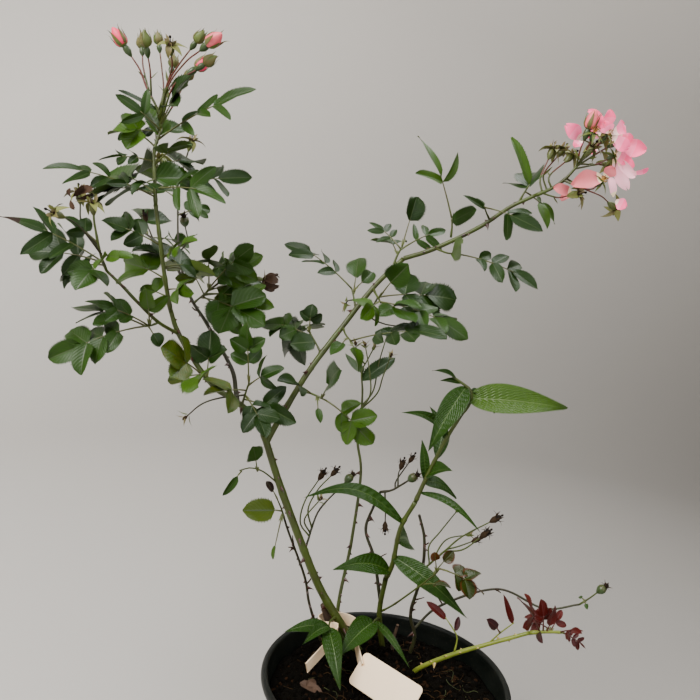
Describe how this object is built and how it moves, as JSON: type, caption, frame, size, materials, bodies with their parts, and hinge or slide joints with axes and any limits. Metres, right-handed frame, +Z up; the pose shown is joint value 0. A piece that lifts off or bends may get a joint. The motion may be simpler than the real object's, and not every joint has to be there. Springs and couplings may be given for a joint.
{
  "type": "potted rose bush",
  "caption": "Open garden rose bush in a round black nursery pot: thorny canes, compound leaves, a bud cluster, pink blossom, dry hips and a blank label.",
  "frame": {"origin": "centre of the pot's flat underside", "axes": "+Z up along the pot's axis, -Y towards the front, +X to the right seen from the front"},
  "size_m": [0.463, 0.2495, 0.6322],
  "materials": {
    "pot_plastic": "black nursery plastic, slightly dusty sheen",
    "potting_soil": "crumbly dark brown peat compost",
    "label_card": "white plastic-coated card, bare",
    "green_bark": "smooth green cane with red-brown thorns",
    "dark_bark": "darker, older green-brown cane",
    "young_bark": "bright lime young shoot",
    "dry_wood": "dead brown wood",
    "rose_leaf": "dark green leaflets, semi-glossy",
    "light_leaf": "lighter green, corrugated long leaves",
    "red_leaf": "deep red young leaves",
    "seed_heads": "olive buds, hips and dry brown seed heads",
    "petals": "soft pink petals, paler at the base"
  },
  "bodies": {
    "root": {"pot": "pot_plastic", "soil": "potting_soil", "label": "label_card", "main_cane": "green_bark", "old_stub": "dry_wood", "left_bough": "green_bark", "right_bough": "green_bark", "right_bough_end": "green_bark", "left_leader": "green_bark", "second_leader": "dark_bark", "left_side_shoot": "green_bark", "thin_cane": "green_bark", "left_side_stem": "dark_bark", "lance_shoot": "green_bark", "thorny_stem": "dark_bark", "cross_stem": "dark_bark", "low_right_shoot": "dark_bark", "lime_shoot": "young_bark", "brown_stub": "dry_wood", "left_leader_leaves": "rose_leaf", "left_upper_leaves": "rose_leaf", "bud_cluster": "seed_heads", "far_left_leaves": "rose_leaf", "side_shoot_leaves": "rose_leaf", "inner_seed_heads": "seed_heads", "second_leader_tip": "rose_leaf", "left_middle_leaves": "rose_leaf", "fork_left_leaves": "rose_leaf", "fork_right_leaves": "rose_leaf", "bough_low_leaves": "rose_leaf", "bough_left_leaves": "rose_leaf", "bough_front_leaves": "rose_leaf", "bough_upper_leaves": "rose_leaf", "bough_middle_leaves": "rose_leaf", "bough_top_leaves": "rose_leaf", "arch_upper_leaves": "rose_leaf", "arch_lower_leaves": "rose_leaf", "arch_side_leaves": "rose_leaf", "arch_end_leaves": "rose_leaf", "flower_cluster": "petals", "thin_cane_tips": "seed_heads", "left_side_leaves": "rose_leaf", "cane_leaf": "rose_leaf", "seed_head_twigs": "seed_heads", "thorny_stem_tips": "seed_heads", "lance_low_leaves": "light_leaf", "lance_middle_leaves": "light_leaf", "lance_top_leaves": "light_leaf", "glossy_leaves": "rose_leaf", "seed_head_sprays": "seed_heads", "low_right_tip": "seed_heads", "red_leaves": "red_leaf", "red_side_leaves": "red_leaf", "red_low_leaves": "red_leaf", "base_leaves": "light_leaf", "foot_leaf": "light_leaf"}
  },
  "joints": []
}
